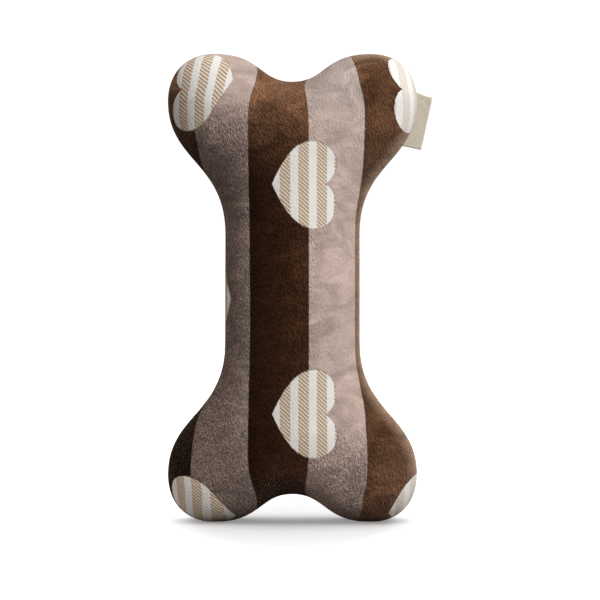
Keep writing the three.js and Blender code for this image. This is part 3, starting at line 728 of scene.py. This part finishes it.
for low, high in zip(ribbon_rows, ribbon_rows[1:]):
    for i in range(len(low) - 1):
        ribbon.faces.new((low[i], low[i + 1], high[i + 1], high[i]))
label_mesh = bpy.data.meshes.new("ribbon_label")
ribbon.to_mesh(label_mesh)
ribbon.free()
label = bpy.data.objects.new("ribbon_label", label_mesh)
bpy.context.scene.collection.objects.link(label)
bpy.context.view_layer.objects.active = label
weave = label.modifiers.new("ribbon", "SOLIDIFY")
weave.thickness = RIBBON_THICKNESS
weave.offset = 0
bpy.ops.object.modifier_apply(modifier="ribbon")
label_mesh.polygons.foreach_set("use_smooth", [True] * len(label_mesh.polygons))

ribbon_material, shader, n = new_material("woven_ribbon")
on_weave = n.add("ShaderNodeAttribute", attribute_name="ribbon_place").outputs[1]
place = n.add("ShaderNodeSeparateXYZ", {0: on_weave})
weft = n.math("SINE", n.math("MULTIPLY", place.outputs[0], 2 * math.pi / WEAVE_PITCH))
warp = n.math("SINE", n.math("MULTIPLY", place.outputs[1], 2 * math.pi / WEAVE_PITCH))
weave_height = n.math("MULTIPLY", weft, warp)
spot = n.add("ShaderNodeTexCoord").outputs["Object"]
worn = n.noise(spot, 160.0, 3.0, 0.3)
from_edge = n.math("MINIMUM", place.outputs[0], n.math("SUBTRACT", RIBBON_WIDTH, place.outputs[0]))
# Painted shade: the ribbon is darker in the low places of its weave and along both long edges. The noise
# adds darker and lighter patches at random.
shade = n.math("ADD", n.ramp(weave_height, -1.0, 1.0, 0.35, -0.15), n.ramp(worn, 0.3, 0.7, -0.15, 0.25))
shade = n.math("ADD", shade, n.ramp(from_edge, 0.0, SHADED_EDGE_WIDTH, 0.35, 0.0))
n.feed(shader.inputs["Base Color"], n.blend(shade, RIBBON_COLOUR, RIBBON_SHADE))
bump = n.add("ShaderNodeBump", {"Height": weave_height, "Strength": 0.35, "Distance": 0.0002})
n.feed(shader.inputs["Normal"], bump.outputs[0])
shader.inputs["Roughness"].default_value = 0.85
shader.inputs["Specular IOR Level"].default_value = 0.15
shader.inputs["Sheen Weight"].default_value = 0.2
label_mesh.materials.append(ribbon_material)
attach(label, "label")
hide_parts("side_label")


# Sewing thread: two plies of brown polyester twisted together. The machine seam runs round the bone between
# the two allowances, and hand ladder stitches close the gap through which the cover was turned.

STITCH_INSET = 0.004
TURNING_GAP = 0.056
LADDER_STITCH = 0.0056
LADDER_SWING = 0.00067
LADDER_SINK = 0.0014
PLY_RADIUS = 0.00018
PLY_ORBIT = 0.00016
TWIST_PITCH = 0.0026
TWIST_STEPS = 6
THREAD_BROWN = (0.055, 0.030, 0.018)
THREAD_DARK = (0.020, 0.011, 0.007)


def even_path(points, step):
    """The path's points spread evenly, about a step apart."""
    way = np.concatenate([[0], np.cumsum(np.linalg.norm(np.diff(points, axis=0), axis=1))])
    even = np.linspace(0, way[-1], max(2, round(way[-1] / step)))
    return np.stack([np.interp(even, way, points[:, k]) for k in range(3)], 1)


def twisted_thread(name, points):
    """Two plies wound round each other along a path, as one mesh."""
    path = even_path(np.array(points), TWIST_PITCH / TWIST_STEPS)
    ahead = np.gradient(path, axis=0)
    aside = np.cross(ahead, (0, 1, 0))
    aside /= np.linalg.norm(aside, axis=1, keepdims=True)
    lift = np.cross(aside, ahead)
    lift /= np.linalg.norm(lift, axis=1, keepdims=True)
    turn = 2 * math.pi * np.arange(len(path))[:, None] / TWIST_STEPS
    plies = bpy.data.curves.new(name, "CURVE")
    plies.dimensions = "3D"
    plies.bevel_depth = PLY_RADIUS
    plies.bevel_resolution = 1
    plies.use_fill_caps = True
    for start in (0, math.pi):
        centre = path + PLY_ORBIT * (np.cos(turn + start) * aside + np.sin(turn + start) * lift)
        ply = plies.splines.new("POLY")
        ply.points.add(len(centre) - 1)
        ply.points.foreach_set("co", np.concatenate([centre, np.ones((len(centre), 1))], 1).ravel())
    thread = bpy.data.objects.new(name, plies)
    bpy.context.scene.collection.objects.link(thread)
    bpy.ops.object.select_all(action="DESELECT")
    thread.select_set(True)
    bpy.context.view_layer.objects.active = thread
    bpy.ops.object.convert(target="MESH")
    return bpy.context.object


edge, outward, _, _ = bone_stations()
sewn = edge - outward * STITCH_INSET
gap = (edge[:, 0] < 0) & (abs(edge[:, 1]) < TURNING_GAP / 2)
first = np.flatnonzero(gap)[-1] + 1
sewn = np.roll(sewn, -first, 0)[:len(edge) - gap.sum()]
seam_thread = twisted_thread("seam_stitching", np.stack([sewn[:, 0], 0 * sewn[:, 0], sewn[:, 1]], 1))
rungs = np.arange(2 * round(TURNING_GAP / LADDER_STITCH) + 1)
swing = LADDER_SWING * (1 - 2 * (rungs % 2 == 0))
ladder = np.stack([np.full(len(rungs), LADDER_SINK - WAIST_HALF_WIDTH), swing,
                   TURNING_GAP * (rungs / rungs[-1] - 0.5)], 1)
closing_thread = twisted_thread("closing_stitches", ladder)

thread_material, shader, n = new_material("twisted_thread")
spot = n.add("ShaderNodeTexCoord").outputs["Object"]
filaments = n.noise(spot, 2600.0, 2.0, 0.8)
# Painted shade: the thread is darker where its filament noise is low, in the hollows that also give the
# bump.
n.feed(shader.inputs["Base Color"], n.blend(n.ramp(filaments, 0.35, 0.65), THREAD_DARK, THREAD_BROWN))
bump = n.add("ShaderNodeBump", {"Height": filaments, "Strength": 0.4, "Distance": 0.0001})
n.feed(shader.inputs["Normal"], bump.outputs[0])
shader.inputs["Roughness"].default_value = 0.6
shader.inputs["Sheen Weight"].default_value = 0.3
for thread, node in ((seam_thread, "seam_thread"), (closing_thread, "closing_thread")):
    thread.data.materials.append(thread_material)
    thread.data.polygons.foreach_set("use_smooth", [True] * len(thread.data.polygons))
    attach(thread, "bone")
    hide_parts(node)


# Squeaker bellows: a thin drum of milky polyethylene with three rounded pleats, blow-moulded in one piece
# with a closed base and an open neck, which faces the front panel.

bellows_low, bellows_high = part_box("squeaker_bellows")
BELLOWS_RADIUS = bellows_high.x
BELLOWS_BASE = bellows_high.y
NECK_FRONT = bellows_low.y
NECK_LENGTH = 0.006
NECK_RADIUS = 0.009
NECK_BORE = 0.0075
PLEATS = 3
PLEAT_DEPTH = 0.0045
PLEAT_WALL = 0.0014
END_WALL = 0.0012
PLEAT_ROWS = 16
TURNED_SEGMENTS = 72
MILKY = (0.80, 0.79, 0.745)
MILKY_SHADE = (0.66, 0.645, 0.59)


def turned(name, profile):
    """A shape turned round the Y axis: a ring is drawn out and resized along (radius, y) places."""
    bpy.ops.object.select_all(action="DESELECT")
    radius, y = profile[0]
    bpy.ops.mesh.primitive_circle_add(
        vertices=TURNED_SEGMENTS, radius=radius, location=(0, y, 0), rotation=(math.pi / 2, 0, 0))
    bpy.context.object.name = name
    bpy.ops.object.transform_apply()
    bpy.ops.object.mode_set(mode="EDIT")
    for next_radius, next_y in profile[1:]:
        bpy.ops.mesh.extrude_region_move(TRANSFORM_OT_translate={"value": (0, next_y - y, 0)})
        share = max(next_radius, 1e-7) / radius
        bpy.ops.transform.resize(value=(share, 1, share), center_override=(0, next_y, 0))
        radius, y = max(next_radius, 1e-7), next_y
    bpy.ops.mesh.select_all(action="SELECT")
    bpy.ops.mesh.remove_doubles(threshold=0.000002)
    bpy.ops.mesh.normals_make_consistent(inside=False)
    bpy.ops.object.mode_set(mode="OBJECT")
    bpy.ops.object.shade_smooth_by_angle(angle=math.radians(35))
    return bpy.context.object


shoulder = NECK_FRONT + NECK_LENGTH
pleat_pitch = (BELLOWS_BASE - shoulder) / PLEATS
pleat_trough = BELLOWS_RADIUS - PLEAT_DEPTH


def pleat_radius(y):
    """The bellows' outer radius at a place along its axis."""
    return pleat_trough + PLEAT_DEPTH / 2 * (1 - math.cos(2 * math.pi * (y - shoulder) / pleat_pitch))


pleat_levels = np.linspace(BELLOWS_BASE, shoulder, PLEATS * PLEAT_ROWS + 1)
inner_levels = np.clip(pleat_levels, shoulder + END_WALL, BELLOWS_BASE - END_WALL)[::-1]
bellows = turned("milky_bellows", [
    (0.000001, BELLOWS_BASE), *((pleat_radius(y), y) for y in pleat_levels),
    (NECK_RADIUS, shoulder), (NECK_RADIUS, NECK_FRONT),
    (NECK_BORE, NECK_FRONT), (NECK_BORE, shoulder + END_WALL),
    *((pleat_radius(y) - PLEAT_WALL, y) for y in inner_levels), (0, BELLOWS_BASE - END_WALL)])


def moulded_skin():
    """A node group for moulded plastic: cloudy colour shade, uneven gloss and a faintly dimpled surface."""
    group = bpy.data.node_groups.new("moulded_skin", "ShaderNodeTree")
    for name in ("Cloud Scale", "Dimple Scale", "Gloss Low", "Gloss High"):
        group.interface.new_socket(name, in_out="INPUT", socket_type="NodeSocketFloat")
    for name in ("Shade", "Roughness", "Height"):
        group.interface.new_socket(name, in_out="OUTPUT", socket_type="NodeSocketFloat")
    n = Nodes(group)
    given = n.add("NodeGroupInput").outputs
    spot = n.add("ShaderNodeTexCoord").outputs["Object"]
    cloud = n.noise(spot, given["Cloud Scale"], 3.0, 0.5)
    dimples = n.noise(spot, given["Dimple Scale"], 2.0)
    gloss = n.ramp(cloud, 0.3, 0.7, given["Gloss Low"], given["Gloss High"])
    n.add("NodeGroupOutput", {"Shade": n.ramp(cloud, 0.3, 0.7), "Roughness": gloss, "Height": dimples})
    return group


moulded = moulded_skin()


def moulded_plastic(name, light, shade, cloud, dimple, gloss):
    """A moulded plastic in two close shades, with scales for its clouds and dimples and a span of gloss."""
    material, shader, n = new_material(name)
    skin = n.add("ShaderNodeGroup", node_tree=moulded)
    values = (cloud, dimple, *gloss)
    for socket, value in zip(skin.inputs, values):
        socket.default_value = value
    n.feed(shader.inputs["Base Color"], n.blend(skin.outputs["Shade"], light, shade))
    n.feed(shader.inputs["Roughness"], skin.outputs["Roughness"])
    bump = n.add("ShaderNodeBump", {"Height": skin.outputs["Height"], "Strength": 0.15, "Distance": 0.0002})
    n.feed(shader.inputs["Normal"], bump.outputs[0])
    return material


milky_plastic = moulded_plastic("milky_polyethylene", MILKY, MILKY_SHADE, 90.0, 900.0, (0.38, 0.55))
milky_plastic.node_tree.nodes["Principled BSDF"].inputs["Subsurface Weight"].default_value = 0.2
bellows.data.materials.append(milky_plastic)
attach(bellows, "bone")
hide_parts("squeaker_bellows")


# Whistle: a flanged plug pressed into the bellows' neck, with the reed tube through it. A clip holds the
# root of a thin film reed down on the tube's flat. The CAD solids have the right shapes and get their
# finish.

WHITE_PLASTIC = (0.84, 0.84, 0.81)
WHITE_PLASTIC_SHADE = (0.73, 0.73, 0.69)
FILM = (0.56, 0.64, 0.66)
FILM_SHADE = (0.47, 0.55, 0.58)

white_plastic = moulded_plastic(
    "white_polypropylene", WHITE_PLASTIC, WHITE_PLASTIC_SHADE, 180.0, 1600.0, (0.28, 0.42))
reed_film = moulded_plastic("polyester_film", FILM, FILM_SHADE, 420.0, 2400.0, (0.12, 0.22))
for node, finish in (("whistle_plug", white_plastic), ("reed_tube", white_plastic),
                     ("reed_clip", white_plastic), ("reed", reed_film)):
    solid = bpy.data.objects[node]
    for slot in solid.material_slots:
        slot.material = finish


# Fibre filling: loose white polyester fibre in six wads, one in each lobe and the shaft's in two halves
# round the squeaker. It is pushed in by hand, so the wads are lumpy where they meet the cover.

WAD_VOXEL = 0.0028
WAD_DENT = 0.0014
WAD_CLEARANCE = 0.0002
WAD_LUMPS_PER_METRE = 70
FIBRE_WHITE = (0.80, 0.79, 0.765)
FIBRE_SHADE = (0.60, 0.60, 0.585)

fibre_material, shader, n = new_material("loose_fibre")
spot = n.add("ShaderNodeTexCoord").outputs["Object"]
drawn_out = n.add("ShaderNodeMapping",
                  {"Vector": spot, "Scale": (1.0, 0.35, 0.55), "Rotation": (0.4, 0.9, 0.3)})
strands = n.noise(drawn_out.outputs[0], 900.0, 4.0, 3.0, 0.7)
tufts = n.noise(spot, 110.0, 3.0, 1.0)
# Painted shade: the fibre is darker where its strands and tufts are both low, in the hollows of the fluff
# that also give the bump.
n.feed(shader.inputs["Base Color"], n.blend(
    n.math("MULTIPLY", n.ramp(strands, 0.62, 0.38), n.ramp(tufts, 0.7, 0.3)), FIBRE_WHITE, FIBRE_SHADE))
fluff = n.math("ADD", strands, tufts)
bump = n.add("ShaderNodeBump", {"Height": fluff, "Strength": 0.8, "Distance": 0.0012})
n.feed(shader.inputs["Normal"], bump.outputs[0])
shader.inputs["Roughness"].default_value = 1.0
shader.inputs["Specular IOR Level"].default_value = 0.1
shader.inputs["Sheen Weight"].default_value = 0.5
shader.inputs["Sheen Roughness"].default_value = 0.6


def fibre_wad(node, seed):
    """A lumpy wad in the room of one filling solid, held a little inside it."""
    wad = bpy.data.objects.new(node.replace("stuffing", "fibre"), bpy.data.objects[node].data.copy())
    wad.data.materials.clear()
    bpy.context.scene.collection.objects.link(wad)
    bpy.ops.object.select_all(action="DESELECT")
    wad.select_set(True)
    bpy.context.view_layer.objects.active = wad
    bpy.ops.object.mode_set(mode="EDIT")
    bpy.ops.mesh.select_all(action="SELECT")
    bpy.ops.mesh.remove_doubles(threshold=0.00001)
    bpy.ops.object.mode_set(mode="OBJECT")
    lumps = wad.modifiers.new("lumps", "REMESH")
    lumps.mode = "VOXEL"
    lumps.voxel_size = WAD_VOXEL
    bpy.ops.object.modifier_apply(modifier="lumps")
    mesh = wad.data
    normals = [vert.normal.copy() for vert in mesh.vertices]
    for vert, normal in zip(mesh.vertices, normals):
        lump = noise.fractal(vert.co * WAD_LUMPS_PER_METRE + Vector((seed, 0, 0)), 1.0, 2.2, 3)
        vert.co -= normal * (WAD_CLEARANCE + WAD_DENT * min(1, abs(lump)))
    mesh.materials.append(fibre_material)
    mesh.polygons.foreach_set("use_smooth", [True] * len(mesh.polygons))
    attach(wad, "bone")
    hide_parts(node)
    return wad


wads = [fibre_wad(node, 7.0 * i) for i, node in enumerate((
    "stuffing_top_left", "stuffing_top_right", "stuffing_bottom_left", "stuffing_bottom_right",
    "stuffing_shaft_front", "stuffing_shaft_back"))]


# The cover, its threads, the fibre wads and the bellows each get a mesh of their own.

*other_wads, backing_wad = wads
for soft in (front, back, seam_thread, closing_thread, *other_wads):
    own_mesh(soft)
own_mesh(backing_wad)
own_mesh(bellows)


# Studio: a plain pale floor under the toy and soft lamps, the largest above on the right and towards the
# camera, so that the left side falls into shade. To the camera the floor glows, but less within an oval
# under the toy, which leaves its contact shadow.

IMAGE_SIDE = 600
PIXEL = 0.00060086
CAMERA_DISTANCE = 1.2
AXIS_X = 0.0045
AXIS_Z = -0.0072
SENSOR = 0.036
SHADOW_HALF_WIDTH = 0.067
SHADOW_HALF_DEPTH = 0.15
SHADOW_FADE = (0.80, 1.35)
FLOOR_GLOW = (0.28, 0.75)
FLOOR_SIZE = 8
FLOOR_GAP = 0.0002
BOUNCE_FADE = (0.16, 0.40)
BOUNCE = (0.90, 0.05)
KEY_PLACE = Vector((0.56, -0.58, 0.44))
KEY_POWER = 12.0
KEY_SIZE = 0.48
OVERHEAD_POWER = 2.4
OVERHEAD_SPREAD = math.radians(90)
FILL_POWER = 1.0
FILL_SPREAD = math.radians(40)
BACKDROP_STRENGTH = (0.06, 1.1)

camera_data = bpy.data.cameras.new("photo_camera")
camera_data.sensor_width = SENSOR * 1000
camera_data.lens = SENSOR * 1000 * CAMERA_DISTANCE / (IMAGE_SIDE * PIXEL)
camera = bpy.data.objects.new("photo_camera", camera_data)
camera.location = (AXIS_X, -CAMERA_DISTANCE, AXIS_Z)
camera.rotation_euler = (math.pi / 2, 0, 0)
bpy.context.scene.collection.objects.link(camera)
bpy.context.scene.camera = camera

bpy.ops.mesh.primitive_plane_add(size=FLOOR_SIZE, location=(0, 0, FLOOR_LEVEL - FLOOR_GAP))
floor = bpy.context.object
floor.name = "floor"
bpy.ops.object.transform_apply(location=True)
floor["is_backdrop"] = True
floor_material, floor_shader, n = new_material("pale_floor")
floor_shader.inputs["Roughness"].default_value = 0.9
floor_shader.inputs["Emission Color"].default_value = (1, 1, 1, 1)
seen = n.add("ShaderNodeLightPath").outputs["Is Camera Ray"]
spot = n.add("ShaderNodeTexCoord").outputs["Object"]
under = n.vector("MULTIPLY", v0=spot, v1=(1 / SHADOW_HALF_WIDTH, 1 / SHADOW_HALF_DEPTH, 0))
outside = n.add("ShaderNodeVectorMath", {0: under}, operation="LENGTH").outputs["Value"]
glow = n.ramp(outside, *SHADOW_FADE, *FLOOR_GLOW)
n.feed(floor_shader.inputs["Emission Strength"], n.math("MULTIPLY", seen, glow))
reach = n.add("ShaderNodeVectorMath", {0: spot}, operation="LENGTH")
bounce = n.ramp(reach.outputs["Value"], *BOUNCE_FADE, *BOUNCE)
n.feed(floor_shader.inputs["Base Color"], n.blend(seen, bounce, (0.98, 0.99, 1.0)))
floor.data.materials.append(floor_material)


def soft_lamp(name, kind, towards, strength, colour):
    """A lamp that shines on the toy from the given direction."""
    lamp = bpy.data.lights.new(name, kind)
    lamp.energy = strength
    lamp.color = colour
    holder = bpy.data.objects.new(name, lamp)
    holder.rotation_euler = (-Vector(towards)).to_track_quat("-Z", "Y").to_euler()
    bpy.context.scene.collection.objects.link(holder)
    return holder


key_lamp = soft_lamp("right_softbox", "AREA", KEY_PLACE, KEY_POWER, (0.96, 1.0, 1.03))
key_lamp.location = KEY_PLACE
key_lamp.data.shape = "DISK"
key_lamp.data.size = KEY_SIZE
overhead_lamp = soft_lamp("overhead_softbox", "SUN", (0.03, 0.20, 1.0), OVERHEAD_POWER, (1.0, 1.0, 1.0))
overhead_lamp.data.angle = OVERHEAD_SPREAD
fill_lamp = soft_lamp("left_reflector", "SUN", (-0.80, -0.50, 0.25), FILL_POWER, (1.0, 0.95, 0.91))
fill_lamp.data.angle = FILL_SPREAD
flagged_off = bpy.data.collections.new("flagged_off_the_key")
flagged_off.objects.link(floor)
flagged_off.collection_objects[0].light_linking.link_state = "EXCLUDE"
for lamp in (key_lamp, fill_lamp):
    lamp.light_linking.receiver_collection = flagged_off

world = bpy.data.worlds.new("white_studio")
bpy.context.scene.world = world
world.use_nodes = True
hand = Nodes(world.node_tree)
backdrop = world.node_tree.nodes["Background"]
seen = hand.add("ShaderNodeLightPath").outputs["Is Camera Ray"]
hand.feed(backdrop.inputs["Strength"], hand.ramp(seen, 0.0, 1.0, *BACKDROP_STRENGTH))
hand.feed(backdrop.inputs["Color"], hand.blend(seen, (1.0, 0.88, 0.80), (1, 1, 1)))
bpy.context.scene.view_settings.view_transform = "Standard"

low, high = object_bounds()
